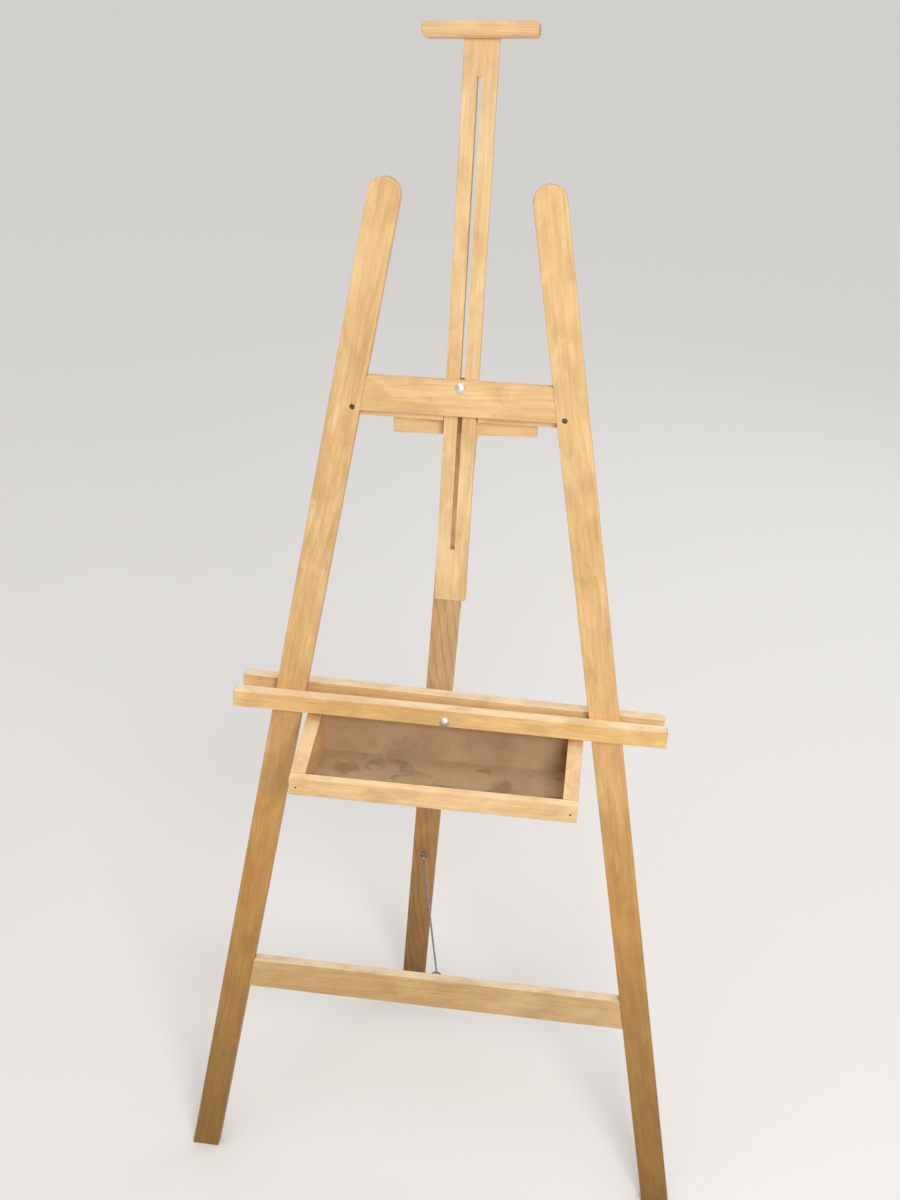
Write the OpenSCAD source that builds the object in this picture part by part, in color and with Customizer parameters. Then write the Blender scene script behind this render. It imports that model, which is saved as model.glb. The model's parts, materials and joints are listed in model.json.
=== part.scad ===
// H-frame easel: two splayed front legs joined by an upper and a lower rail, a slotted mast that
// slides behind the upper rail, a two-rail shelf that clamps on the legs and carries a tray, and a
// hinged rear leg held open by a hook stay.
// Everything on the front frame is drawn upright (x across, y to the back, z up along the frame)
// and then leaned back as one.

/* [Front frame] */
// Lean of the front frame from the vertical, degrees
lean_angle = 10; // [6:1:16]
// Width of a leg batten
leg_w = 44; // [40:1:50]
// Thickness of the planed battens
stock_t = 18; // [16:1:20]
// Height of the legs, measured along the frame
leg_height = 1625; // [1580:5:1700]
// Half the distance between the leg centre lines at the floor
foot_half = 390; // [380:2:410]
// Splay of each leg from the frame's centre line, degrees
splay = 10; // [9.5:0.1:10.2]
// Height of the underside of the upper rail
upper_rail_z = 1320; // [1310:2:1340]
// Depth of the upper rail
upper_rail_h = 48; // [46:1:54]
// Height of the underside of the lower rail
lower_rail_z = 347; // [320:2:360]
// Depth of the lower rail
lower_rail_h = 52; // [46:1:54]

/* [Mast] */
// Width of the mast
mast_w = 44; // [40:1:46]
// Length of the mast below its head
mast_len = 745; // [730:5:760]
// Height of the mast's lower end
mast_z = 1047; // [1040:1:1060]
// Width of the slot
slot_w = 6.4; // [6.4:0.2:8]
// Wood left above the slot
slot_above = 44; // [36:1:50]
// Wood left below the slot
slot_below = 77; // [60:1:90]
// Sideways set of the mast's bolt from the middle
mast_x = 2.5; // [0:0.5:3]
// Sideways tilt of the mast on its bolt, degrees
mast_tilt = 0.9; // [0:0.1:1.5]
// Length of the head bar
head_w = 144; // [130:1:160]
// Thickness of the head bar
head_h = 19; // [16:1:22]
// Depth of the head bar, front to back
head_d = 44; // [40:1:50]
// Sideways tilt of the head bar on the mast's end, degrees
head_tilt = -2.8; // [-4:0.2:0]

/* [Shelf] */
// Length of the front shelf rail
shelf_len = 640; // [620:5:660]
// Length of the rear shelf rail
rear_shelf_len = 632; // [615:1:655]
// Sideways set of the shelf rails from the middle
shelf_x = 5; // [0:0.5:6]
// Height of the underside of the shelf rails
shelf_z = 864; // [850:1:870]
// Height of the front shelf rail
shelf_h = 26; // [24:1:30]
// Height of the rear shelf rail
rear_shelf_h = 30; // [28:1:36]
// Sideways tilt of the front shelf rail on its bolt, degrees
front_shelf_tilt = 0.4; // [0:0.1:1]
// Sideways tilt of the rear shelf rail on its bolt, degrees
rear_shelf_tilt = 1.2; // [0:0.1:1.3]
// Thickness of a shelf rail, front to back
shelf_t = 22; // [20:1:24]

/* [Tray] */
// Width of the tray
tray_w = 412; // [390:2:412]
// Distance from the front of the legs to the front of the tray
tray_reach = 122; // [100:1:125]
// Thickness of the side boards
side_t = 22; // [18:1:24]
// Thickness of the front board
front_t = 10; // [8:1:12]
// Distance of the tray floor below the shelf rails
floor_drop = 77; // [70:1:80]
// Distance of the side boards' upper edge below the shelf rails, at the front of the legs
side_drop = 5; // [4:1:8]
// Slope of the side boards' upper edge, degrees
side_slope = 21.6; // [18:0.2:22]
// Thickness of the hardboard
board_t = 3.2; // [2.5:0.1:4]

/* [Rear leg] */
// Angle between the rear leg and the front frame, degrees
rear_open = 15.5; // [13:0.5:18]
// Sideways set of the rear leg on its hinge, degrees
rear_skew = 4.2; // [0:0.2:5]
// Width of the rear leg
rear_w = 43; // [36:1:44]
// Sideways set of its hinge from the middle
rear_x = 2.5; // [0:0.5:5]
// Distance of the stay's eye below the hinge
eye_drop = 935; // [905:5:940]

/* [Hidden] */
$fn = 48;

// Fits
slide_gap = 0.3;    // between pieces that slide on each other
mast_gap = 1.6;     // between the mast and the spacers beside it
hole_gap = 0.05;    // round a screw, dowel or pin in its hole
thin = 0.1;         // under a nut that turns
cut = 1;            // how far a cutting shape runs past the wood
huge = 2400;

// Colours
pine = [0.87, 0.70, 0.45];
pine_light = [0.92, 0.77, 0.55];
pine_dark = [0.72, 0.54, 0.33];
hardboard = [0.60, 0.46, 0.33];
steel = [0.72, 0.72, 0.70];
dark_steel = [0.25, 0.24, 0.23];

// Hardware
bolt_r = 3;
neck = 6;
dome_r = 7.6;
dome_h = 4;
washer_r = 8.5;
washer_t = 1.5;
nut_r = 5.5;
nut_h = 6;
wing_span = 14;
wing_h = 11;
wing_t = 2.4;
bolt_tail = 11;
dowel_r = 4;
dowel_len = 36;
screw_r = 1.8;
screw_head_r = 3.9;
screw_head_h = 2.6;
nail_r = 0.9;
nail_head_r = 1.6;
nail_head_h = 0.6;
pilot_depth = 13;
shank_depth = 12;
leg_screw_len = 27;
block_screw_len = 46;
head_screw_len = 50;
tray_screw_len = 36;
leaf_screw_len = 15;
front_nail_len = 30;
board_nail_len = 18;

// Frame
rail_top = upper_rail_z + upper_rail_h;
edge_half = leg_w / 2 / cos(splay);
spacer_z = upper_rail_z - 10;
spacer_top = rail_top - 8;
spacer_in = mast_w / 2 + mast_gap;
spacer_out = inner_edge(spacer_top) + 2 * edge_half - 4;
block_z = upper_rail_z - 33;
block_top = upper_rail_z + 22;
block_w = 200;
block_x = 6;        // sideways set of the block
block_tilt = -1.6;  // its sideways tilt, degrees
block_screw_xs = [45, 80];
block_screw_z = upper_rail_z + 11;
mast_y = stock_t + slide_gap;
block_y = mast_y + stock_t + slide_gap;
block_back = block_y + stock_t;
bolt_z = upper_rail_z + 38;
leg_screw_z = upper_rail_z + 4;
leg_screw_x = inner_edge(leg_screw_z) + 11;
leg_screw_recess = 3;
mast_top = mast_z + mast_len;
head_front = mast_y + stock_t - head_d;
head_round = 7;     // of the head bar's front edges
head_corner = 6;    // of its ends
head_screw_x = 12;

// Shelf and tray
shelf_front_y = -slide_gap - shelf_t;
shelf_rear_y = stock_t + slide_gap;
shelf_back = shelf_rear_y + shelf_t;
shelf_corner = 3;   // of the rails' ends, as seen from the front
shelf_round = 8;    // of the rails' rear corners, as seen from above
shelf_bolt_x = 2;
shelf_bolt_z = shelf_z + 7;
tray_screw_gap = 11;
tray_screw_z = shelf_z + 9.5;
floor_z = shelf_z - floor_drop;
tray_back_y = shelf_rear_y;
horn_front = 2 * slide_gap;
horn_top = shelf_z + shelf_h - 12;
tray_in = tray_w / 2 - side_t;
front_nail_set_out = 1; // outward from the middle of the side board
front_nail_z = floor_z + 9;

// Hinge and rear leg
knuckle_r = 3.2;
leaf_t = 1.8;
leaf_w = 40;
leaf_len = 28;
knuckle_half = 7;
hinge_pin_r = 1.5;
hinge_z = upper_rail_z + 15;
hinge_y = block_back + knuckle_r + thin;
hinge_middle = [rear_x, hinge_y, hinge_z];
leaf_face = knuckle_r + thin;
rear_front = leaf_face;
rear_back = rear_front + stock_t;

// Stay
eye_wire = 1.4;
leg_eye_r = 5;
leg_eye_out = 8;
rail_eye_r = 6.5;
rail_eye_out = 12;
rail_eye_z = lower_rail_z + lower_rail_h - 11;
rod_r = 1.6;
loop_wire = 1.75;
loop_r = 4.4;
loop_bore = 2.85;   // worn flat inside by the eye
bend_r = 3.2;
hook_drop = 5;      // from the rod down to the rail eye's ring
hook_below = 3;     // from the ring to the hook's tip
hook_back = 2.5;    // from the ring's centre to the hook
stay_pivot = [0, rear_front - leg_eye_out - leg_eye_r, -eye_drop];
in_eye = [0, stock_t + rail_eye_out + hook_back, rail_eye_z];

// Distance from the front of the feet to the back of the rear foot, on the floor
foot_z = (tan(lean_angle) * (hinge_y + rear_back * cos(rear_open)) - hinge_z
        - rear_w / 2 * sin(rear_skew) - rear_back * sin(rear_open) * cos(rear_skew))
    / (cos(rear_open) * cos(rear_skew) + tan(lean_angle) * sin(rear_open));
rear_reach = (hinge_y + rear_back * cos(rear_open) - foot_z * sin(rear_open)) / cos(lean_angle);

// Inner edge of a leg at a height on the frame
function inner_edge(z) = foot_half - z * tan(splay) - leg_w / 2 / cos(splay);

// A point of the front frame, given from the hinge pin along the open rear leg's own axes
function turn_x(p, a) = [p[0], p[1] * cos(a) - p[2] * sin(a), p[1] * sin(a) + p[2] * cos(a)];
function turn_y(p, a) = [p[0] * cos(a) + p[2] * sin(a), p[1], p[2] * cos(a) - p[0] * sin(a)];
function seen_from_leg(p) = turn_x(turn_y(p - hinge_middle, -rear_skew), -rear_open);

// ---- placing ----

// Leans what is drawn upright, with the origin midway between the feet on the floor
module leaned() {
    translate([0, -rear_reach / 2, 0]) rotate([-lean_angle, 0, 0]) children();
}

// Cuts away what reaches below the floor
module cut_at_floor() {
    difference() {
        children();
        translate([-huge / 2, -huge / 2, -huge / 4]) cube([huge, huge, huge / 4]);
    }
}

module rear_placed() {
    leaned() translate(hinge_middle) rotate([0, rear_skew, 0]) children();
}

module rear_opened() {
    rear_placed() rotate([rear_open, 0, 0]) children();
}

// Tilts its children sideways about a point of the front frame
module tilted(middle, angle) {
    translate(middle) rotate([0, angle, 0]) translate(-middle) children();
}

module both_sides() {
    for (side = [-1, 1]) scale([side, 1, 1]) children();
}

// ---- stock shapes ----

module box(from, to) {
    translate(from) cube(to - from);
}

// A cylinder that runs to the back from a point
module rod_y(from, r, len) {
    translate(from) rotate([-90, 0, 0]) cylinder(h = len, r = r);
}

module rod_x(from, r, len) {
    translate(from) rotate([0, 90, 0]) cylinder(h = len, r = r);
}

// A rectangle with all four corners rounded
module rounded_square(size, r) {
    translate([r, 0]) square([size[0] - 2 * r, size[1]]);
    translate([0, r]) square([size[0], size[1] - 2 * r]);
    for (x = [r, size[0] - r]) for (y = [r, size[1] - r]) translate([x, y]) circle(r = r);
}

// A rectangle with its two far corners rounded
module half_rounded_square(size, r) {
    translate([r, 0]) square([size[0] - 2 * r, size[1]]);
    square([size[0], size[1] - r]);
    for (x = [r, size[0] - r]) translate([x, size[1] - r]) circle(r = r);
}

// A bar along x with rounded corners as seen from the front
module rounded_bar(from, size, r) {
    translate(from + [0, size[1], 0]) rotate([90, 0, 0]) linear_extrude(size[1])
        rounded_square([size[0], size[2]], r);
}

module ring(r, wire_r) {
    rotate_extrude() translate([r, 0]) circle(r = wire_r, $fn = 24);
}

// A countersunk screw that points to the back, its head's face on y = 0
module screw(len, gap = 0) {
    rotate([-90, 0, 0]) cylinder(h = screw_head_h, r1 = screw_head_r + gap, r2 = screw_r + gap);
    rotate([-90, 0, 0]) cylinder(h = len + gap, r = screw_r + gap);
}

// A nail that points to the back, its head's face on y = 0
module nail(len, gap = 0) {
    rotate([-90, 0, 0]) cylinder(h = nail_head_h, r = nail_head_r + gap, $fn = 24);
    rotate([-90, 0, 0]) cylinder(h = len + gap, r = nail_r + gap, $fn = 24);
}

// A coach bolt that points to the back, the wood's face on y = 0
module coach_bolt(len) {
    ball_r = (dome_r * dome_r + dome_h * dome_h) / (2 * dome_h);
    intersection() {
        translate([0, ball_r - dome_h, 0]) sphere(r = ball_r, $fn = 96);
        rod_y([0, -dome_h - cut, 0], dome_r + cut, dome_h + cut);
    }
    box([-neck / 2, 0, -neck / 2], [neck / 2, dome_h, neck / 2]);
    rod_y([0, 0, 0], bolt_r, len);
}

module coach_bolt_hole(len) {
    side = neck / 2 + hole_gap;
    box([-side, -cut, -side], [side, dome_h + hole_gap, side]);
    rod_y([0, -cut, 0], bolt_r + 2 * hole_gap, len + 2 * cut);
}

module washer() {
    difference() {
        rod_y([0, 0, 0], washer_r, washer_t);
        rod_y([0, -cut, 0], bolt_r + 4 * hole_gap, washer_t + 2 * cut);
    }
}

// One wing of a nut, as a flat plate in x and y
module wing() {
    translate([0, 0, -wing_t / 2]) linear_extrude(wing_t)
        polygon([[nut_r - 1.5, 0.8], [wing_span - 5, 3], [wing_span, 7.5], [wing_span, wing_h - 1.5],
            [wing_span - 2, wing_h], [wing_span - 5, wing_h - 1.5], [nut_r - 1, nut_h - 0.8]]);
}

module wing_nut() {
    color(steel) difference() {
        union() {
            rotate([-90, 0, 0]) cylinder(h = nut_h, r1 = nut_r + 0.8, r2 = nut_r - 0.5);
            both_sides() wing();
        }
        rod_y([0, -cut, 0], bolt_r + hole_gap, wing_h + 2 * cut);
    }
}

// ---- front frame ----

// Centres of the dowels in a rail's end: two heights on the right leg's inner edge
function dowel_spot(z) = [inner_edge(z), stock_t / 2, z];
function dowel_spots(z, h) = [for (part = [0.27, 0.73]) dowel_spot(z + h * part)];
upper_dowels = dowel_spots(upper_rail_z, upper_rail_h);
lower_dowels = dowel_spots(lower_rail_z, lower_rail_h);

module dowels(spots, gap = 0) {
    both_sides() for (p = spots)
        rod_x(p - [dowel_len / 2 + gap, 0, 0], dowel_r + gap, dowel_len + 2 * gap);
}

// The right leg; the left is its mirror image
module leg_batten() {
    axis_len = leg_height / cos(splay);
    tilt = tan(lean_angle) * stock_t + tan(splay) * leg_w;
    translate([foot_half, 0, 0]) rotate([0, -splay, 0]) {
        box([-leg_w / 2, 0, -tilt], [leg_w / 2, stock_t, axis_len - leg_w / 2]);
        rod_y([0, 0, axis_len - leg_w / 2], leg_w / 2, stock_t);
    }
}

module leg_screw_set(gap = 0) {
    both_sides() translate([leg_screw_x, leg_screw_recess, leg_screw_z]) screw(leg_screw_len, gap);
}

module leg(side) {
    color(pine) cut_at_floor() leaned() difference() {
        scale([side, 1, 1]) leg_batten();
        dowels(upper_dowels, hole_gap);
        dowels(lower_dowels, hole_gap);
        leg_screw_set(hole_gap);
        both_sides() rod_y([leg_screw_x, -cut, leg_screw_z], screw_head_r + hole_gap, leg_screw_recess + cut);
    }
}

// A rail that fits between the splayed legs
module rail_batten(z, h) {
    low = inner_edge(z);
    high = inner_edge(z + h);
    translate([0, stock_t, z]) rotate([90, 0, 0]) linear_extrude(stock_t)
        polygon([[-low, 0], [low, 0], [high, h], [-high, h]]);
}

module block_screw_set(gap = 0) {
    both_sides() for (x = block_screw_xs)
        translate([x, block_back, block_screw_z]) rotate([0, 0, 180]) screw(block_screw_len, gap);
}

module upper_rail() {
    color(pine_light) leaned() difference() {
        rail_batten(upper_rail_z, upper_rail_h);
        dowels(upper_dowels, hole_gap);
        block_screw_set(hole_gap);
        translate([mast_x, 0, bolt_z]) coach_bolt_hole(stock_t);
    }
}

module rail_eye_space(gap) {
    rod_y([0, stock_t - pilot_depth, rail_eye_z], eye_wire + gap, pilot_depth + cut);
}

module lower_rail() {
    color(pine) leaned() difference() {
        rail_batten(lower_rail_z, lower_rail_h);
        dowels(lower_dowels, hole_gap);
        rail_eye_space(hole_gap);
    }
}

module upper_rail_dowels() {
    color(pine_light) leaned() dowels(upper_dowels);
}

module lower_rail_dowels() {
    color(pine_light) leaned() dowels(lower_dowels);
}

module spacer(side) {
    color(pine_light) leaned() difference() {
        scale([side, 1, 1])
            box([spacer_in + side * mast_x, stock_t, spacer_z], [spacer_out, block_y, spacer_top]);
        leg_screw_set(hole_gap);
        block_screw_set(hole_gap);
    }
}

module rear_block() {
    color(pine) difference() {
        leaned() difference() {
            tilted([block_x, 0, hinge_z], block_tilt)
                box([block_x - block_w / 2, block_y, block_z],
                    [block_x + block_w / 2, block_back, block_top]);
            block_screw_set(hole_gap);
        }
        hinge_block_screw_set(hole_gap);
    }
}

module leg_screws() {
    color(dark_steel) leaned() leg_screw_set();
}

module block_screws() {
    color(dark_steel) leaned() block_screw_set();
}

// The bolt stands above the block, so its washer and nut press on the mast itself
module mast_bolt() {
    color(steel) leaned() translate([mast_x, 0, bolt_z]) coach_bolt(block_y + bolt_tail);
}

module mast_washer() {
    color(steel) leaned() translate([mast_x, block_y, bolt_z]) washer();
}

module mast_wing_nut() {
    leaned() translate([mast_x, block_y + washer_t + thin, bolt_z]) wing_nut();
}

// ---- mast ----

module mast_placed() {
    leaned() tilted([mast_x, 0, bolt_z], mast_tilt) translate([mast_x, 0, 0]) children();
}

module head_placed() {
    mast_placed() tilted([0, 0, mast_top], head_tilt) children();
}

module head_screw_set(gap = 0) {
    for (x = [-head_screw_x, head_screw_x])
        translate([x, mast_y + stock_t / 2, mast_top + head_h])
            rotate([-90, 0, 0]) screw(head_screw_len, gap);
}

// The mast's upper end is cut to the head bar's tilt
module mast() {
    slot_low = mast_z + slot_below;
    slot_high = mast_top - slot_above;
    color(pine_light) difference() {
        mast_placed() difference() {
            box([-mast_w / 2, mast_y, mast_z], [mast_w / 2, mast_y + stock_t, mast_top + head_h]);
            box([-slot_w / 2, mast_y - cut, slot_low], [slot_w / 2, mast_y + stock_t + cut, slot_high]);
        }
        head_placed() {
            box([-mast_w, mast_y - cut, mast_top], [mast_w, mast_y + stock_t + cut, mast_top + 2 * head_h]);
            head_screw_set(hole_gap);
        }
    }
}

// The head bar: round ends as seen from the front, and round front edges
module mast_head() {
    color(pine_light) head_placed() difference() {
        intersection() {
            rounded_bar([-head_w / 2, head_front, mast_top], [head_w, head_d, head_h], head_corner);
            translate([-head_w / 2, 0, mast_top + head_h]) rotate([0, 90, 0]) linear_extrude(head_w)
                translate([0, mast_y + stock_t]) mirror([0, 1])
                    half_rounded_square([head_h, head_d], head_round);
        }
        head_screw_set(hole_gap);
    }
}

module mast_head_screws() {
    color(dark_steel) head_placed() head_screw_set();
}

// ---- shelf and tray ----

module shelf_bolt_space() {
    translate([shelf_bolt_x, shelf_front_y, shelf_bolt_z]) coach_bolt_hole(shelf_back - shelf_front_y);
}

module tray_screw_set(gap = 0) {
    both_sides() for (side = [-1, 1])
        translate([tray_w / 2 - side_t / 2 + side * tray_screw_gap / 2, shelf_back, tray_screw_z])
            rotate([0, 0, 180]) screw(tray_screw_len, gap);
}

module shelf_tilted(angle) {
    tilted([shelf_bolt_x, 0, shelf_bolt_z], angle) children();
}

// A shelf rail, its corners rounded as seen from the front and its rear corners as seen from above
module shelf_batten(y, length, height) {
    start = [shelf_x - length / 2, y, shelf_z];
    intersection() {
        rounded_bar(start, [length, shelf_t, height], shelf_corner);
        translate(start) linear_extrude(height) half_rounded_square([length, shelf_t], shelf_round);
    }
}

module shelf_front_rail() {
    color(pine_light) leaned() difference() {
        shelf_tilted(front_shelf_tilt) shelf_batten(shelf_front_y, shelf_len, shelf_h);
        shelf_bolt_space();
    }
}

module shelf_rear_rail() {
    color(pine_light) leaned() difference() {
        shelf_tilted(rear_shelf_tilt) shelf_batten(shelf_rear_y, rear_shelf_len, rear_shelf_h);
        shelf_bolt_space();
        tray_screw_set(hole_gap);
    }
}

module shelf_bolt() {
    color(steel) leaned() translate([shelf_bolt_x, shelf_front_y, shelf_bolt_z])
        coach_bolt(shelf_back - shelf_front_y + bolt_tail);
}

module shelf_washer() {
    color(steel) leaned() translate([shelf_bolt_x, shelf_back, shelf_bolt_z]) washer();
}

module shelf_wing_nut() {
    leaned() translate([shelf_bolt_x, shelf_back + washer_t + thin, shelf_bolt_z]) wing_nut();
}

// Height of the side boards' sloping upper edge
function side_top(y) = shelf_z - side_drop + y * tan(side_slope);

front_y = -tray_reach;
front_back = front_y + front_t;
tray_under = floor_z - board_t;

module front_nail_set(gap = 0) {
    both_sides() translate([tray_w / 2 - side_t / 2 + front_nail_set_out, front_y, front_nail_z])
        nail(front_nail_len, gap);
}

floor_nail_ys = [-90, -50, -10];

module floor_nail_set(gap = 0) {
    both_sides() for (y = floor_nail_ys)
        translate([tray_w / 2 - side_t / 2, y, tray_under]) rotate([90, 0, 0]) nail(board_nail_len, gap);
}

panel_nail_zs = [floor_z + 14, floor_z + 55];

module panel_nail_set(gap = 0) {
    both_sides() for (z = panel_nail_zs)
        translate([tray_w / 2 - side_t / 2, tray_back_y + board_t, z])
            rotate([0, 0, 180]) nail(board_nail_len, gap);
}

// A side board: sloping upper edge, and a horn that rises between the shelf rails
module tray_side(side) {
    outline = [[front_back, floor_z], [front_back, side_top(front_back)], [horn_front, side_top(horn_front)],
        [horn_front, horn_top], [tray_back_y, horn_top], [tray_back_y, floor_z]];
    color(pine) leaned() difference() {
        scale([side, 1, 1]) translate([tray_in, 0, 0])
            rotate([90, 0, 90]) linear_extrude(side_t) polygon(outline);
        front_nail_set(hole_gap);
        floor_nail_set(hole_gap);
        panel_nail_set(hole_gap);
        tray_screw_set(hole_gap);
    }
}

module tray_front() {
    outline = [[front_y, tray_under], [front_y, side_top(front_y)], [front_back, side_top(front_back)],
        [front_back, tray_under]];
    color(pine_light) leaned() difference() {
        translate([-tray_w / 2, 0, 0]) rotate([90, 0, 90]) linear_extrude(tray_w) polygon(outline);
        front_nail_set(hole_gap);
    }
}

// The back panel's upper edge follows the rear rail
module tray_back_panel() {
    color(hardboard) leaned() difference() {
        box([-tray_w / 2, tray_back_y, tray_under], [tray_w / 2, tray_back_y + board_t, shelf_z + shelf_h]);
        shelf_tilted(rear_shelf_tilt)
            box([-tray_w, tray_back_y - cut, shelf_z], [tray_w, shelf_back, shelf_z + 2 * shelf_h]);
        panel_nail_set(hole_gap);
    }
}

module tray_floor() {
    color(hardboard) leaned() difference() {
        box([-tray_w / 2, front_back, tray_under], [tray_w / 2, tray_back_y, floor_z]);
        floor_nail_set(hole_gap);
    }
}

module tray_front_nails() {
    color(dark_steel) leaned() front_nail_set();
}

module tray_floor_nails() {
    color(dark_steel) leaned() floor_nail_set();
}

module tray_panel_nails() {
    color(dark_steel) leaned() panel_nail_set();
}

module tray_screws() {
    color(dark_steel) leaned() tray_screw_set();
}

// ---- rear leg, hinge and stay ----

leaf_screw_spots = [for (x = [-13, 13]) for (z = [-9, -21]) [x, 0, z]];

module hinge_block_screw_set(gap = 0) {
    rear_placed() for (p = leaf_screw_spots)
        translate(p + [0, leaf_t - leaf_face, 0]) rotate([0, 0, 180]) screw(leaf_screw_len, gap);
}

module hinge_leg_screw_set(gap = 0) {
    rear_opened() for (p = leaf_screw_spots)
        translate(p + [0, leaf_face - leaf_t, 0]) screw(leaf_screw_len, gap);
}

// Knuckles that fill the given stretches, with the leaf cut clear of the other leaf's knuckles
module leaf(plate_y, own, others) {
    difference() {
        union() {
            difference() {
                box([-leaf_w / 2, plate_y, -leaf_len], [leaf_w / 2, plate_y + leaf_t, 0]);
                for (s = others) rod_x([s[0], 0, 0], knuckle_r + slide_gap, s[1] - s[0]);
            }
            for (s = own) rod_x([s[0], 0, 0], knuckle_r, s[1] - s[0]);
        }
        rod_x([-leaf_w / 2 - cut, 0, 0], hinge_pin_r + hole_gap, leaf_w + 2 * cut);
    }
}

middle_knuckle = [[-knuckle_half, knuckle_half]];
outer_knuckles = [[-leaf_w / 2, -knuckle_half - slide_gap], [knuckle_half + slide_gap, leaf_w / 2]];
middle_space = [[-knuckle_half - slide_gap, knuckle_half + slide_gap]];
outer_space = [[-leaf_w / 2 - cut, -knuckle_half], [knuckle_half, leaf_w / 2 + cut]];

module hinge_fixed_leaf() {
    color(steel) difference() {
        rear_placed() leaf(-leaf_face, outer_knuckles, middle_space);
        hinge_block_screw_set(hole_gap);
    }
}

module hinge_moving_leaf() {
    color(steel) difference() {
        rear_opened() leaf(leaf_face - leaf_t, middle_knuckle, outer_space);
        hinge_leg_screw_set(hole_gap);
    }
}

module hinge_pin() {
    color(steel) rear_placed() {
        rod_x([-leaf_w / 2 - 0.8, 0, 0], hinge_pin_r, leaf_w + 1.6);
        for (x = [-leaf_w / 2 - 1.6, leaf_w / 2 + 0.4]) rod_x([x, 0, 0], hinge_pin_r + 0.7, 1.2);
    }
}

module hinge_block_screws() {
    color(steel) hinge_block_screw_set();
}

module hinge_leg_screws() {
    color(steel) hinge_leg_screw_set();
}

module rear_leg() {
    reach = huge * 0.6;
    color(pine_dark) cut_at_floor() difference() {
        rear_opened() difference() {
            box([-rear_w / 2, rear_front, -reach], [rear_w / 2, rear_back, -2]);
            rod_y([0, rear_front - cut, -eye_drop], eye_wire + hole_gap, pilot_depth + cut);
        }
        hinge_leg_screw_set(hole_gap);
    }
}

// A screw eye whose ring lies across the shank
module screw_eye(r, out, depth) {
    translate([0, -out, 0]) ring(r, eye_wire);
    rod_y([0, -out + r, 0], eye_wire, out - r + depth);
}

module leg_eye() {
    color(dark_steel) rear_opened() translate([0, rear_front, -eye_drop])
        screw_eye(leg_eye_r, leg_eye_out, shank_depth);
}

module rail_eye() {
    color(dark_steel) leaned() translate([0, stock_t, rail_eye_z]) rotate([0, 0, 180])
        screw_eye(rail_eye_r, rail_eye_out, shank_depth);
}

// The stay: a loop round the leg eye's wire, a straight rod and a hook down through the rail eye
module stay_hook() {
    reach = seen_from_leg(in_eye) - stay_pivot;
    level_reach = norm([reach[0], reach[1]]);
    turn = atan2(reach[0], -reach[1]);
    rise = atan2(reach[2], level_reach) + asin(hook_drop / norm(reach));
    rod_len = sqrt(reach * reach - hook_drop * hook_drop);
    color(dark_steel) rear_opened() translate(stay_pivot) rotate([0, 0, turn]) rotate([-rise, 0, 0]) {
        rotate([0, 90, 0]) difference() {
            ring(loop_r, loop_wire);
            cylinder(h = 2 * loop_wire, r = loop_bore, center = true);
        }
        rod_y([0, bend_r - rod_len, 0], rod_r, rod_len - bend_r - loop_r);
        translate([0, bend_r - rod_len, -bend_r]) rotate([180, -90, 0])
            rotate_extrude(angle = 90) translate([bend_r, 0]) circle(r = rod_r);
        translate([0, -rod_len, -hook_drop - hook_below]) {
            cylinder(h = hook_drop + hook_below - bend_r, r = rod_r);
            translate([0, 0, -rod_r / 2]) cylinder(h = rod_r / 2, r1 = rod_r / 2, r2 = rod_r);
        }
    }
}

leg(-1);  // left_leg
leg(1);  // right_leg
upper_rail();
lower_rail();
upper_rail_dowels();
lower_rail_dowels();
spacer(-1);  // left_spacer
spacer(1);  // right_spacer
rear_block();
leg_screws();
block_screws();
mast_bolt();
mast_washer();
mast_wing_nut();
mast();
mast_head();
mast_head_screws();
shelf_front_rail();
shelf_rear_rail();
shelf_bolt();
shelf_washer();
shelf_wing_nut();
tray_side(-1);  // tray_left_side
tray_side(1);  // tray_right_side
tray_front();
tray_back_panel();
tray_floor();
tray_front_nails();
tray_floor_nails();
tray_panel_nails();
tray_screws();
rear_leg();
hinge_fixed_leaf();
hinge_moving_leaf();
hinge_pin();
hinge_block_screws();
hinge_leg_screws();
rail_eye();
leg_eye();
stay_hook();
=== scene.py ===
"""The looks of the H-frame easel: pine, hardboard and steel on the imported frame, with the floor,
the lights and the camera. Everything is in metres, in the frame's own axes, with +Z up."""

import json
import math

import bpy
import numpy as np
from mathutils import Matrix, Vector


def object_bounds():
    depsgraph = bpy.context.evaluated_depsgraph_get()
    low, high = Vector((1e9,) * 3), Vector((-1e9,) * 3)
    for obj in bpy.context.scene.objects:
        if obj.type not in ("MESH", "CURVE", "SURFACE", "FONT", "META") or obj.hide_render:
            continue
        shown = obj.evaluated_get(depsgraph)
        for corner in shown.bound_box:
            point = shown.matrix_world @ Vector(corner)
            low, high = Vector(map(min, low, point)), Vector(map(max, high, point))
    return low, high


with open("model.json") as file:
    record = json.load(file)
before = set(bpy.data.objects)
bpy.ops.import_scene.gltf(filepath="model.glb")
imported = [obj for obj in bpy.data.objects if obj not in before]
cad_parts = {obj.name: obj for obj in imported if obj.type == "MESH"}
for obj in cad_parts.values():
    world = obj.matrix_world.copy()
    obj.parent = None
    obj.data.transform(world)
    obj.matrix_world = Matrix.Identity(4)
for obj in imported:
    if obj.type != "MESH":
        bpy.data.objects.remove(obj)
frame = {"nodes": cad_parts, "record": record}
cad_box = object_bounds()
NODES = frame["nodes"]
FRONT = cad_box[0][1]
HEIGHT = cad_box[1][2]


def rgb(red, green, blue):
    return (red, green, blue, 1.0)


# ---- edges ----

# How far the boards' edges are rounded
ARRIS = 0.0012
# Only edges that turn by more than this are rounded
SHARP = math.cos(math.radians(32))
# A face is on a board's outside if no point of the board stands further than this in front of it
FLUSH = 0.0004
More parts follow.
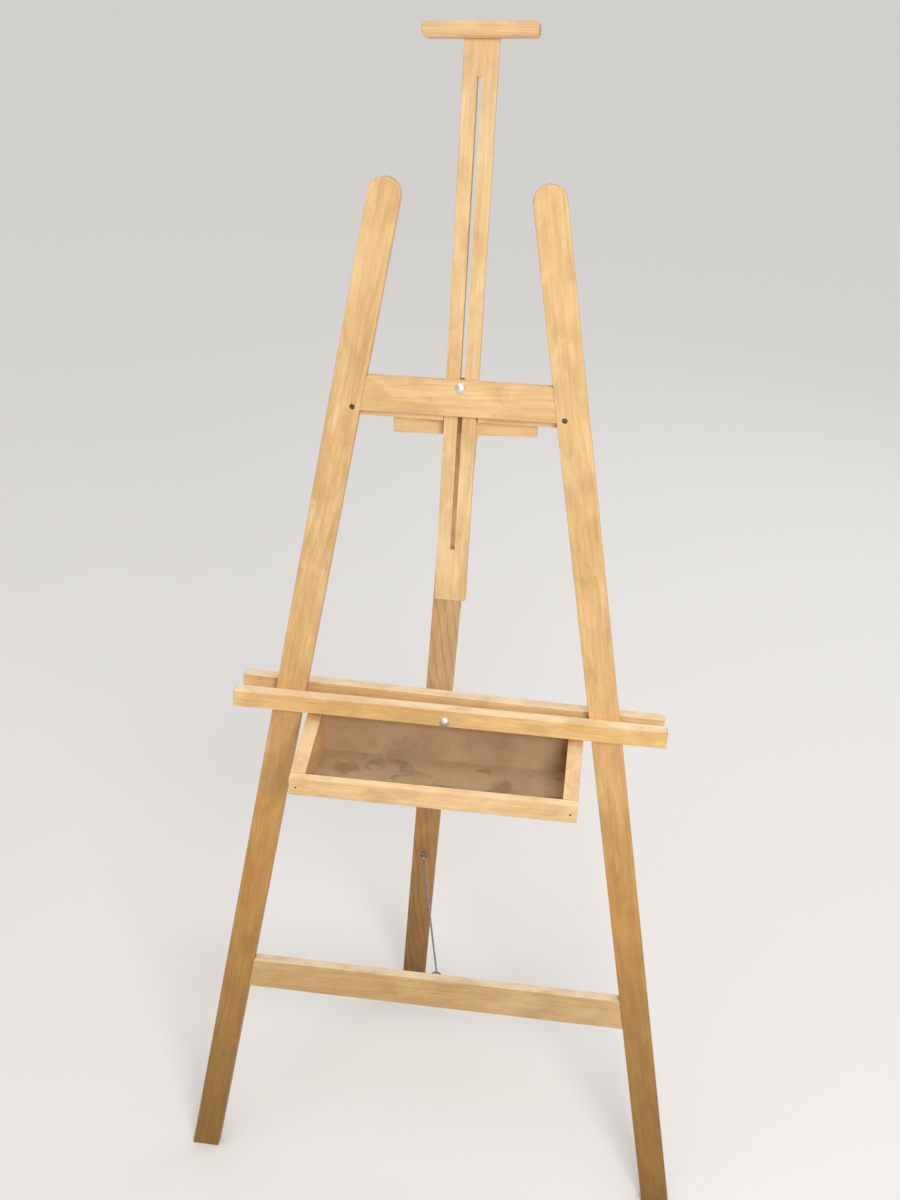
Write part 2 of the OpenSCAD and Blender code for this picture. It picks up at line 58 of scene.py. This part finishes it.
# Handling has rubbed the arrises pale from this far in, and fully from nearer than this
RUBBED_FROM = 0.0016
RUBBED_FULLY = 0.0003


# ---- colours ----

# Pine tones: the two that a board wanders between, and its latewood lines
TONES = {
    "pale": (rgb(0.83, 0.60, 0.33), rgb(0.77, 0.52, 0.255), rgb(0.60, 0.35, 0.135)),
    "yellow": (rgb(0.79, 0.54, 0.265), rgb(0.72, 0.455, 0.195), rgb(0.53, 0.285, 0.095)),
    "golden": (rgb(0.87, 0.60, 0.27), rgb(0.80, 0.51, 0.20), rgb(0.60, 0.33, 0.10)),
    # This darker tone is partly painted shade for a board low down, where less light reaches, and partly
    # older wood
    "dull_shaded": (rgb(0.66, 0.45, 0.22), rgb(0.60, 0.38, 0.16), rgb(0.44, 0.24, 0.08)),
    "tan": (rgb(0.72, 0.485, 0.245), rgb(0.62, 0.395, 0.185), rgb(0.34, 0.19, 0.080)),
}

# What is laid over a pine board's tone
PINE_BLUSH = rgb(0.74, 0.46, 0.27)
# Painted top light, laid on upward faces where the light from above falls
PINE_TOP_LIGHT = rgb(0.96, 0.83, 0.62)
PINE_END = rgb(0.30, 0.17, 0.075)
PINE_RUBBED = rgb(0.93, 0.76, 0.52)
PINE_DIRT = rgb(0.36, 0.25, 0.15)

# What multiplies the tone towards the foot of a standing board: browning, as ageing with painted shade,
# and painted shade of the light falling off towards the floor
PINE_AGED_AND_SHADED = rgb(0.80, 0.66, 0.42)
PINE_FOOT_SHADE = rgb(0.44, 0.40, 0.22)

HARDBOARD_LIGHT = rgb(0.56, 0.385, 0.235)
HARDBOARD_DARK = rgb(0.47, 0.315, 0.19)
HARDBOARD_SPECK = rgb(0.20, 0.115, 0.06)
HARDBOARD_FLUFF = rgb(0.56, 0.41, 0.27)
WASH_STAIN = rgb(0.20, 0.125, 0.065)
DROP_STAIN = rgb(0.17, 0.10, 0.055)
DUST = rgb(0.55, 0.46, 0.36)

FLOOR_GREY = rgb(0.80, 0.80, 0.80)
NEUTRAL_LIGHT = (1.0, 1.0, 1.0)
WARM_LIGHT = (1.0, 0.96, 0.90)
WARM_AIR = rgb(1.0, 0.96, 0.91)


# ---- node helpers ----

def new_node(tree, kind, settings=None, inputs=None):
    """Adds a node, sets its properties, and sets or links its inputs by name or number."""
    node = tree.nodes.new(kind)
    for name, value in (settings or {}).items():
        setattr(node, name, value)
    for name, value in (inputs or {}).items():
        if isinstance(value, bpy.types.NodeSocket):
            tree.links.new(value, node.inputs[name])
        else:
            node.inputs[name].default_value = value
    return node


def math_node(tree, operation, first, second=0.0):
    return new_node(tree, "ShaderNodeMath", {"operation": operation}, {0: first, 1: second}).outputs[0]


def times(tree, *factors):
    """The product of numbers and sockets."""
    product = factors[0]
    for factor in factors[1:]:
        product = math_node(tree, "MULTIPLY", product, factor)
    return product


def vector_node(tree, operation, first, second=None):
    inputs = {0: first}
    if second is not None:
        inputs[1] = second
    node = new_node(tree, "ShaderNodeVectorMath", {"operation": operation}, inputs)
    return node.outputs["Value"] if operation in ("LENGTH", "DOT_PRODUCT") else node.outputs["Vector"]


def split(tree, vector):
    """The vector's parts, by the names X, Y and Z."""
    return new_node(tree, "ShaderNodeSeparateXYZ", None, {"Vector": vector}).outputs


def remap(tree, value, low, high, to_low=0.0, to_high=1.0):
    """Smoothly takes value from low..high to to_low..to_high."""
    inputs = {"Value": value, "From Min": low, "From Max": high, "To Min": to_low, "To Max": to_high}
    node = new_node(tree, "ShaderNodeMapRange", {"interpolation_type": "SMOOTHSTEP"}, inputs)
    return node.outputs["Result"]


def noise(tree, vector, scale, detail=2.0, roughness=0.5, distortion=0.0):
    inputs = {"Vector": vector, "Scale": scale, "Detail": detail, "Roughness": roughness,
              "Distortion": distortion}
    return new_node(tree, "ShaderNodeTexNoise", None, inputs).outputs[0]


def drawn_noise(tree, place, along, across, scale=1.0, detail=2.0, roughness=0.5, distortion=0.0):
    """Noise drawn out along the board: along and across are how quickly it changes each way."""
    drawn = vector_node(tree, "MULTIPLY", place, (along, across, across))
    return noise(tree, drawn, scale, detail, roughness, distortion)


def mix_color(tree, factor, first, second, blend="MIX"):
    node = new_node(tree, "ShaderNodeMix", {"data_type": "RGBA", "blend_type": blend})
    for name, value in (("Factor_Float", factor), ("A_Color", first), ("B_Color", second)):
        socket = next(s for s in node.inputs if s.identifier == name)
        if isinstance(value, bpy.types.NodeSocket):
            tree.links.new(value, socket)
        else:
            socket.default_value = value
    return next(s for s in node.outputs if s.identifier == "Result_Color")


def lay_over(tree, color, other, mark, start, full, most=1.0):
    """Lays another colour over the first by how high mark is: none at start, and at full, most."""
    return mix_color(tree, remap(tree, mark, start, full, 0.0, most), color, other)


def new_group(name, inputs, outputs):
    """A node group; inputs and outputs give the sockets' names for each kind of socket."""
    tree = bpy.data.node_groups.new(name, "ShaderNodeTree")
    for in_out, kinds in (("INPUT", inputs), ("OUTPUT", outputs)):
        for kind, names in kinds.items():
            for socket in names:
                tree.interface.new_socket(socket, in_out=in_out, socket_type="NodeSocket" + kind)
    return tree


# ---- material helpers ----

def new_material(name):
    material = bpy.data.materials.new(name)
    material.use_nodes = True
    return material


def set_shader(material, values):
    """Sets or links the material's shader inputs by name."""
    tree = material.node_tree
    shader = next(node for node in tree.nodes if node.type == "BSDF_PRINCIPLED")
    for name, value in values.items():
        if isinstance(value, bpy.types.NodeSocket):
            tree.links.new(value, shader.inputs[name])
        else:
            shader.inputs[name].default_value = value


def bumped(tree, height, strength, depth):
    """The normal that height gives the surface."""
    inputs = {"Height": height, "Strength": strength, "Distance": depth}
    return new_node(tree, "ShaderNodeBump", None, inputs).outputs["Normal"]


def dress(obj, material):
    """Makes this the object's only material."""
    obj.data.materials.clear()
    obj.data.materials.append(material)


# ---- board coordinates ----

def main_direction(vectors, weights):
    """The direction that the vectors share most, whichever way along it each of them points."""
    vectors = np.array(vectors)
    weighted = vectors * np.array(weights)[:, None]
    return np.linalg.eigh(weighted.T @ vectors)[1][:, 2]


def turned_positive(direction):
    """The direction or its opposite, whichever has a positive largest part."""
    return direction * np.sign(direction[np.argmax(abs(direction))])


def board_axes(obj):
    """The board's length, width and thickness directions, from its longest edges and largest faces,
    with its middle and half its size in those directions."""
    mesh = obj.data
    points = np.array([v.co for v in mesh.vertices])
    spans = [points[edge.vertices[1]] - points[edge.vertices[0]] for edge in mesh.edges]
    normals = [tuple(face.normal) for face in mesh.polygons]
    length = turned_positive(main_direction(spans, [np.linalg.norm(span) ** 4 for span in spans]))
    thickness = main_direction(normals, [face.area for face in mesh.polygons])
    thickness = thickness - length * thickness.dot(length)
    thickness = turned_positive(thickness / np.linalg.norm(thickness))
    axes = np.array([length, np.cross(thickness, length), thickness])
    spread = points @ axes.T
    middle = (spread.min(0) + spread.max(0)) / 2
    half = (spread.max(0) - spread.min(0)) / 2
    return axes, middle, half


def board_coordinates(tree, axes, middle):
    """The board's own coordinates, x along the grain, y across it and z through the board, and the
    normal in the object's coordinates."""
    coordinates = new_node(tree, "ShaderNodeTexCoord")
    turned = new_node(tree, "ShaderNodeMapping", {"vector_type": "POINT"}, {
        "Vector": coordinates.outputs["Object"],
        "Rotation": Matrix(axes.tolist()).to_euler("XYZ"),
        "Location": [-value for value in middle],
    })
    return turned.outputs["Vector"], coordinates.outputs["Normal"]


# ---- pine ----

def pine_rings(tree, given, place):
    """The latewood lines: rings round the log's heart, which wanders slowly along the board."""
    wander_reach = 0.030
    ripple_height = 0.0012
    slow = vector_node(tree, "MULTIPLY", place, (1.3, 7.0, 7.0))
    wander = new_node(tree, "ShaderNodeTexNoise", None, {"Vector": slow, "Scale": 2.2, "Detail": 2.0})
    wander = vector_node(tree, "SUBTRACT", wander.outputs["Color"], (0.5, 0.5, 0.5))
    wander = vector_node(tree, "MULTIPLY", wander, (0.0, wander_reach, wander_reach))
    along = split(tree, given["Vector"])["X"]
    slant = new_node(tree, "ShaderNodeCombineXYZ", None, {"Y": times(tree, along, given["Slant"])})
    from_heart = vector_node(tree, "MULTIPLY", given["Vector"], (0.0, 1.0, 1.0))
    from_heart = vector_node(tree, "SUBTRACT", from_heart, given["Heart"])
    from_heart = vector_node(tree, "ADD", from_heart, wander)
    from_heart = vector_node(tree, "ADD", from_heart, slant.outputs["Vector"])
    ripple = drawn_noise(tree, place, along=9.0, across=60.0, scale=3.0, detail=3.0)
    radius = vector_node(tree, "LENGTH", from_heart)
    radius = math_node(tree, "ADD", radius, times(tree, ripple, ripple_height))
    phase = math_node(tree, "FRACT", math_node(tree, "DIVIDE", radius, given["Ring"]))
    # Each ring darkens slowly to its latewood and then ends sharply
    rise = remap(tree, phase, given["Early"], 0.90)
    fall = remap(tree, phase, 1.0, 0.93)
    fade = drawn_noise(tree, place, along=2.0, across=20.0, scale=2.0)
    fade = remap(tree, fade, 0.3, 0.7, 0.35, 1.0)
    return times(tree, rise, fall, fade, given["Contrast"])


def pine_figure(tree, given, place, late, fibre, dash, mottle):
    """The wood itself: tone, blush and rings, shaded by streaks, fibres, mottling and resin dashes."""
    patch = drawn_noise(tree, place, along=2.6, across=9.0)
    blush = drawn_noise(tree, place, along=7.0, across=16.0, scale=1.3)
    coarse = drawn_noise(tree, place, along=9.0, across=260.0, roughness=0.55)
    color = lay_over(tree, given["Pale"], given["Mid"], patch, start=0.3, full=0.7)
    color = lay_over(tree, color, PINE_BLUSH, blush, start=0.50, full=0.72, most=0.36)
    color = mix_color(tree, late, color, given["Late"])
    streaks = remap(tree, coarse, 0.25, 0.75, 0.91, 1.06)
    grain = remap(tree, fibre, 0.25, 0.75, 0.90, 1.06)
    clouds = remap(tree, mottle, 0.25, 0.75, 0.82, 1.10)
    dashed = math_node(tree, "SUBTRACT", 1.0, times(tree, dash, 0.22))
    shade = times(tree, streaks, grain, clouds, dashed)
    # Darker wood is also warmer: its red falls off least and its blue most
    tint = new_node(tree, "ShaderNodeCombineColor", None, {
        "Red": math_node(tree, "POWER", shade, 0.75),
        "Green": shade,
        "Blue": math_node(tree, "POWER", shade, 1.3),
    })
    return mix_color(tree, 1.0, color, tint.outputs["Color"], "MULTIPLY")


def pine_wear_and_top_light(tree, given, place, mottle, color):
    """Use and handling: dark end grain, rubbed arrises and smudges, with painted top light that pales the
    upper faces.
    """
    # Painted top light: upward faces are paled where the light from above falls on them
    upward = vector_node(tree, "DOT_PRODUCT", given["Normal"], (0.0, 0.0, 1.0))
    top_lit = remap(tree, upward, 0.80, 0.95)
    uneven = remap(tree, mottle, 0.35, 0.6, 0.6, 1.0)
    color = mix_color(tree, times(tree, top_lit, given["TopLight"], uneven), color, PINE_TOP_LIGHT)

    endways = math_node(tree, "ABSOLUTE", vector_node(tree, "DOT_PRODUCT", given["Normal"], given["Along"]))
    color = lay_over(tree, color, PINE_END, endways, start=0.75, full=0.95, most=0.45)

    # The long arrises are where the board's limits are near both across and through it
    inset = vector_node(tree, "SUBTRACT", given["Half"], vector_node(tree, "ABSOLUTE", given["Vector"]))
    inset = split(tree, inset)
    from_arris = math_node(tree, "MAXIMUM", inset["Y"], inset["Z"])
    rubbed = remap(tree, from_arris, RUBBED_FROM, RUBBED_FULLY)
    uneven = remap(tree, mottle, 0.35, 0.6, 0.3, 1.0)
    color = mix_color(tree, times(tree, rubbed, uneven, 0.42), color, PINE_RUBBED)

    # Smudges are taken from elsewhere in the noise, so that they don't follow the figure
    elsewhere = vector_node(tree, "ADD", place, (3.1, 1.7, 0.4))
    smudge = noise(tree, elsewhere, scale=24.0, detail=4.0, roughness=0.6)
    return lay_over(tree, color, PINE_DIRT, smudge, start=0.62, full=0.80, most=0.14)


def pine_foot_age_and_shade(tree, given, color):
    """The lower half of a standing board is browned, as ageing with painted shade, and it darkens
    towards the floor with painted shade where the light falls off.
    """
    # share runs from -1 at the board's lower end to 1 at its upper end
    share = math_node(tree, "DIVIDE", split(tree, given["Vector"])["X"], split(tree, given["Half"])["X"])
    # Ageing with painted shade: browner below the middle of the board
    aged_and_shaded = times(tree, remap(tree, share, 0.30, -0.35), given["Foot"])
    color = mix_color(tree, aged_and_shaded, color, PINE_AGED_AND_SHADED, "MULTIPLY")
    # Painted shade: darker towards the floor, where the light falls off
    foot_shade = times(tree, remap(tree, share, 0.0, -1.15), given["Foot"])
    return mix_color(tree, foot_shade, color, PINE_FOOT_SHADE, "MULTIPLY")


def pine_group():
    """Pine in board coordinates, as one group that every board shares."""
    tree = new_group("pine", {
        "Vector": ("Vector", "Normal", "Half", "Shift", "Heart", "Along"),
        "Float": ("Slant", "Ring", "Contrast", "Foot", "Early", "TopLight"),
        "Color": ("Pale", "Mid", "Late"),
    }, {"Color": ("Color",), "Float": ("Roughness", "Height")})
    given = new_node(tree, "NodeGroupInput").outputs
    place = vector_node(tree, "ADD", given["Vector"], given["Shift"])
    late = pine_rings(tree, given, place)
    fibre = drawn_noise(tree, place, along=28.0, across=1100.0, detail=3.0, roughness=0.6)
    dash = drawn_noise(tree, place, along=45.0, across=1300.0, detail=1.0, roughness=0.4)
    dash = remap(tree, dash, 0.70, 0.80)
    mottle = drawn_noise(tree, place, along=16.0, across=34.0, detail=4.0, roughness=0.62, distortion=0.6)

    color = pine_figure(tree, given, place, late, fibre, dash, mottle)
    color = pine_wear_and_top_light(tree, given, place, mottle, color)
    color = pine_foot_age_and_shade(tree, given, color)

    rough = remap(tree, mottle, 0.3, 0.7, 0.40, 0.54)
    rough = math_node(tree, "SUBTRACT", rough, times(tree, late, 0.06))
    rough = math_node(tree, "ADD", rough, times(tree, fibre, 0.10))
    height = times(tree, late, 0.45)
    height = math_node(tree, "ADD", height, times(tree, fibre, 0.55))
    height = math_node(tree, "SUBTRACT", height, times(tree, dash, 0.5))
    height = math_node(tree, "ADD", height, times(tree, mottle, 0.25))
    new_node(tree, "NodeGroupOutput", None, {"Color": color, "Roughness": rough, "Height": height})
    return tree


PINE = pine_group()


def pine(obj, tone, ring=0.0042, heart=(0.012, 0.055), slant=0.0, contrast=0.28, shift=0.0, foot=0.0,
         early=0.25, top_light=0.25):
    """Gives a board its own pine. ring is the width of a year's growth, heart the log's centre as seen
    from the board's, slant how far the grain runs off it, contrast the strength of the latewood and
    early the pale share of each ring. shift takes the board from another place in the wood, foot is
    how far its lower end is browned and darkened, as ageing and painted shade, and top_light how far
    its upper faces are paled by painted top light."""
    axes, middle, half = board_axes(obj)
    material = new_material("pine_" + obj.name)
    tree = material.node_tree
    place, normal = board_coordinates(tree, axes, middle)
    pale, mid, late = TONES[tone]
    figure = new_node(tree, "ShaderNodeGroup", {"node_tree": PINE}, {
        "Vector": place, "Normal": normal, "Half": half.tolist(), "Along": axes[0].tolist(),
        "Shift": (shift, shift * 0.37, shift * 0.61), "Heart": (0.0, heart[0], heart[1]),
        "Slant": slant, "Ring": ring, "Contrast": contrast, "Early": early,
        "Pale": pale, "Mid": mid, "Late": late, "Foot": foot, "TopLight": top_light,
    }).outputs
    set_shader(material, {
        "Base Color": figure["Color"],
        "Roughness": figure["Roughness"],
        "Normal": bumped(tree, figure["Height"], strength=0.35, depth=0.0006),
        "Specular IOR Level": 0.38,
        "Coat Weight": 0.06,
        "Coat Roughness": 0.35,
    })
    dress(obj, material)


# ---- hardboard ----

def hardboard(obj, shift, stains):
    """Pressed brown board: fine specks, soft clouding, spilt wash marks and pale dust. stains is how
    strongly it is marked."""
    axes, middle, _ = board_axes(obj)
    material = new_material("hardboard_" + obj.name)
    tree = material.node_tree
    own, _ = board_coordinates(tree, axes, middle)
    place = vector_node(tree, "ADD", own, (shift, shift * 0.4, 0.0))
    specks = noise(tree, place, scale=1500.0, detail=2.0, roughness=0.7)
    fluff = drawn_noise(tree, place, along=140.0, across=420.0, detail=3.0, roughness=0.65)
    cloud = noise(tree, place, scale=14.0, detail=3.0, roughness=0.55, distortion=0.4)
    color = lay_over(tree, HARDBOARD_LIGHT, HARDBOARD_DARK, cloud, start=0.3, full=0.7)
    color = lay_over(tree, color, HARDBOARD_SPECK, specks, start=0.35, full=0.75, most=0.30)
    color = lay_over(tree, color, HARDBOARD_FLUFF, fluff, start=0.55, full=0.8, most=0.25)

    # Each kind of mark is taken from its own place in the noise
    wash = noise(tree, place, scale=17.0, detail=3.0, roughness=0.5, distortion=0.25)
    elsewhere = vector_node(tree, "ADD", place, (2.3, 0.9, 0.0))
    drops = noise(tree, elsewhere, scale=62.0, detail=2.0, roughness=0.5)
    elsewhere = vector_node(tree, "ADD", place, (0.7, 0.2, 0.0))
    dust = noise(tree, elsewhere, scale=11.0, detail=6.0, roughness=0.75)
    color = lay_over(tree, color, WASH_STAIN, wash, start=0.52, full=0.64, most=0.52 * stains)
    color = lay_over(tree, color, DROP_STAIN, drops, start=0.66, full=0.74, most=0.45 * stains)
    color = lay_over(tree, color, DUST, dust, start=0.50, full=0.72, most=0.40 * stains)

    relief = math_node(tree, "ADD", specks, fluff)
    set_shader(material, {
        "Base Color": color,
        "Roughness": remap(tree, wash, 0.45, 0.70, 0.62, 0.42),
        "Normal": bumped(tree, relief, strength=0.3, depth=0.0002),
        "Specular IOR Level": 0.35,
    })
    dress(obj, material)


# ---- metal ----

def metal(name, base, worn, rough, relief):
    """Steel with a clouded finish, fine scratches and a little tarnish. base and worn are the colours
    that it clouds between, rough its least roughness and relief the strength of its scratches."""
    material = new_material(name)
    tree = material.node_tree
    place = new_node(tree, "ShaderNodeTexCoord").outputs["Object"]
    tarnished = rgb(*(0.45 * value for value in base[:3]))
    cloud = noise(tree, place, scale=220.0, detail=3.0, roughness=0.6)
    drawn = vector_node(tree, "MULTIPLY", place, (3000.0, 500.0, 900.0))
    scratch = noise(tree, drawn, scale=1.0, detail=2.0, roughness=0.6)
    spots = noise(tree, place, scale=420.0, detail=4.0, roughness=0.7)
    color = lay_over(tree, base, worn, cloud, start=0.35, full=0.7)
    color = lay_over(tree, color, tarnished, spots, start=0.52, full=0.72, most=0.6)
    blur = remap(tree, cloud, 0.3, 0.7, rough, rough + 0.14)
    set_shader(material, {
        "Base Color": color,
        "Roughness": math_node(tree, "ADD", blur, times(tree, scratch, 0.10)),
        "Normal": bumped(tree, scratch, strength=relief, depth=0.0001),
        "Metallic": 1.0,
    })
    return material


# ---- eased edges ----

def edge_place(points, ends):
    """Names an edge by where its two ends are, because faces that meet may not share their points."""
    return frozenset(tuple(np.round(points[end], 6)) for end in ends)


def faces_by_edge(mesh, points):
    """The numbers of the faces that meet at each edge."""
    faces = {}
    for face in mesh.polygons:
        corners = list(face.vertices)
        for ends in zip(corners, corners[1:] + corners[:1]):
            faces.setdefault(edge_place(points, ends), []).append(face.index)
    return faces


def weigh_outer_edges(mesh):
    """Marks for bevelling the sharp edges of the board's outside, not those of its holes and slots."""
    points = np.array([v.co for v in mesh.vertices])
    normals = np.array([face.normal for face in mesh.polygons])
    middles = np.array([face.center for face in mesh.polygons])
    proud = normals @ points.T - np.sum(normals * middles, axis=1)[:, None]
    outer = proud.max(axis=1) < FLUSH
    faces = faces_by_edge(mesh, points)
    weights = mesh.attributes.new("bevel_weight_edge", "FLOAT", "EDGE")
    for edge in mesh.edges:
        pair = faces.get(edge_place(points, edge.vertices), [])
        if len(pair) == 2 and outer[pair].all() and normals[pair[0]].dot(normals[pair[1]]) < SHARP:
            weights.data[edge.index].value = 1.0


def ease(obj, outer_only):
    """Rounds a board's edges a little, as planing and sanding leave them; with outer_only, the edges
    of its holes and slots stay crisp."""
    weld = obj.modifiers.new("weld", "WELD")
    weld.merge_threshold = 0.00001
    bevel = obj.modifiers.new("ease", "BEVEL")
    bevel.width = ARRIS
    bevel.segments = 3
    bevel.use_clamp_overlap = False
    bevel.limit_method = "WEIGHT" if outer_only else "ANGLE"
    bevel.angle_limit = math.acos(SHARP)
    if outer_only:
        weigh_outer_edges(obj.data)


# ---- the easel's materials ----

BOARDS = {
    "left_leg": dict(tone="yellow", ring=0.0046, heart=(0.020, 0.060), contrast=0.30, shift=1.7, foot=1.0),
    "right_leg": dict(tone="yellow", ring=0.0052, heart=(-0.006, 0.042), contrast=0.30, shift=4.9, foot=1.0),
    "upper_rail": dict(tone="yellow", ring=0.0055, heart=(0.030, 0.040), slant=0.03, contrast=0.24,
                       shift=7.3),
    # Its darker tone is partly painted shade near the floor and partly older wood
    "lower_rail": dict(tone="dull_shaded", ring=0.0050, heart=(0.010, 0.070), contrast=0.26, shift=10.1,
                       top_light=0.65),
    "left_spacer": dict(tone="pale", shift=12.0),
    "right_spacer": dict(tone="pale", shift=13.3),
    "rear_block": dict(tone="pale", ring=0.0050, shift=14.9),
    "mast": dict(tone="pale", ring=0.0044, heart=(0.0, 0.050), contrast=0.22, shift=17.7),
    "mast_head": dict(tone="pale", ring=0.0050, heart=(0.02, 0.06), contrast=0.18, shift=19.1),
    "shelf_front_rail": dict(tone="golden", ring=0.0048, heart=(0.015, 0.060), contrast=0.22, shift=21.9,
                             top_light=0.65),
    "shelf_rear_rail": dict(tone="pale", ring=0.0048, contrast=0.22, shift=23.3, top_light=0.65),
    "tray_left_side": dict(tone="yellow", shift=25.7),
    "tray_right_side": dict(tone="yellow", shift=26.9),
    "tray_front": dict(tone="pale", ring=0.0045, contrast=0.22, shift=28.1),
    "rear_leg": dict(tone="tan", ring=0.0125, heart=(0.20, 0.02), slant=0.15, contrast=0.55, shift=31.3,
                     foot=1.0, early=0.62),
}
# The outline of these two has an inward corner, so not all of their faces count as outer ones
NOTCHED = ("tray_left_side", "tray_right_side")
# Each set of dowels with its shift; they are inside the joints, so their edges aren't eased
DOWELS = {"upper_rail_dowels": 33.0, "lower_rail_dowels": 34.0}

for board, look in BOARDS.items():
    pine(NODES[board], **look)
    ease(NODES[board], outer_only=board not in NOTCHED)
for dowels, shift in DOWELS.items():
    pine(NODES[dowels], tone="pale", shift=shift)

hardboard(NODES["tray_floor"], shift=0.0, stains=1.0)
hardboard(NODES["tray_back_panel"], shift=1.3, stains=0.45)

zinc = metal("zinc_steel", base=rgb(0.88, 0.88, 0.87), worn=rgb(0.72, 0.72, 0.71), rough=0.36, relief=0.25)
dark = metal("dark_steel", base=rgb(0.15, 0.14, 0.12), worn=rgb(0.08, 0.072, 0.062), rough=0.40, relief=0.3)
wire = metal("steel_wire", base=rgb(0.46, 0.45, 0.43), worn=rgb(0.26, 0.25, 0.24), rough=0.32, relief=0.3)
WIRES = ("stay_hook", "leg_eye", "rail_eye")
SLOTS = {part["node"]: part["material_slot"] for part in frame["record"]["subparts"]}
for node, slot in SLOTS.items():
    if slot == "zinc_steel":
        dress(NODES[node], zinc)
    elif slot == "dark_steel":
        dress(NODES[node], wire if node in WIRES else dark)


# ---- stage, lights and camera ----

def add_floor(reach):
    """A level square at height 0 that reaches this far each way."""
    corners = [(-reach, -reach, 0), (reach, -reach, 0), (reach, reach, 0), (-reach, reach, 0)]
    mesh = bpy.data.meshes.new("floor")
    mesh.from_pydata(corners, [], [(0, 1, 2, 3)])
    floor = bpy.data.objects.new("floor", mesh)
    bpy.context.scene.collection.objects.link(floor)
    material = new_material("floor")
    set_shader(material, {"Base Color": FLOOR_GREY, "Roughness": 0.9})
    floor.data.materials.append(material)


def add_softbox(name, place, target, size, power, color):
    light = bpy.data.lights.new(name, "AREA")
    light.shape = "RECTANGLE"
    light.size, light.size_y = size
    light.energy = power
    light.color = color
    obj = bpy.data.objects.new(name, light)
    obj.location = place
    obj.rotation_euler = (Vector(target) - Vector(place)).to_track_quat("-Z", "Y").to_euler()
    bpy.context.scene.collection.objects.link(obj)


def add_overhead(strength, spread):
    """Even light from above, as wide as spread in degrees, so that the floor stays pale far away."""
    light = bpy.data.lights.new("overhead", "SUN")
    light.energy = strength
    light.angle = math.radians(spread)
    bpy.context.scene.collection.objects.link(bpy.data.objects.new("overhead", light))


def set_world(color, strength):
    world = bpy.data.worlds.new("studio")
    world.use_nodes = True
    background = next(node for node in world.node_tree.nodes if node.type == "BACKGROUND")
    background.inputs["Color"].default_value = color
    background.inputs["Strength"].default_value = strength
    bpy.context.scene.world = world


def add_camera(place, heading, pitch, roll, focal_share):
    """heading turns from +Y to the left, pitch is below level and roll lifts the camera's right-hand
    side, all in degrees; focal_share is the focal length over the picture's height."""
    data = bpy.data.cameras.new("camera")
    data.sensor_fit = "VERTICAL"
    data.sensor_height = 24.0
    data.lens = focal_share * data.sensor_height
    obj = bpy.data.objects.new("camera", data)
    heading, pitch, roll = (math.radians(value) for value in (heading, pitch, roll))
    turn = Matrix.Rotation(heading, 4, "Z") @ Matrix.Rotation(math.pi / 2 - pitch, 4, "X")
    obj.matrix_world = Matrix.Translation(place) @ turn @ Matrix.Rotation(roll, 4, "Z")
    bpy.context.scene.collection.objects.link(obj)
    bpy.context.scene.camera = obj


add_floor(reach=150.0)
add_softbox("key", place=(0.80, FRONT - 1.60, HEIGHT + 0.45), target=(0.0, 0.0, 1.1), size=(0.9, 0.7),
            power=29.5, color=WARM_LIGHT)
add_softbox("rim", place=(1.8, 2.2, HEIGHT + 0.8), target=(0.0, 0.0, 1.0), size=(1.6, 1.6),
            power=14.5, color=NEUTRAL_LIGHT)
add_overhead(strength=1.08, spread=70.0)
set_world(WARM_AIR, strength=0.46)
# The photo's viewpoint, found by fitting the easel's edges to those in the photo
add_camera(place=(0.200, FRONT - 1.385, HEIGHT + 0.194), heading=7.245, pitch=30.775, roll=1.039,
           focal_share=1.0743)
bpy.context.scene.view_settings.view_transform = "Standard"
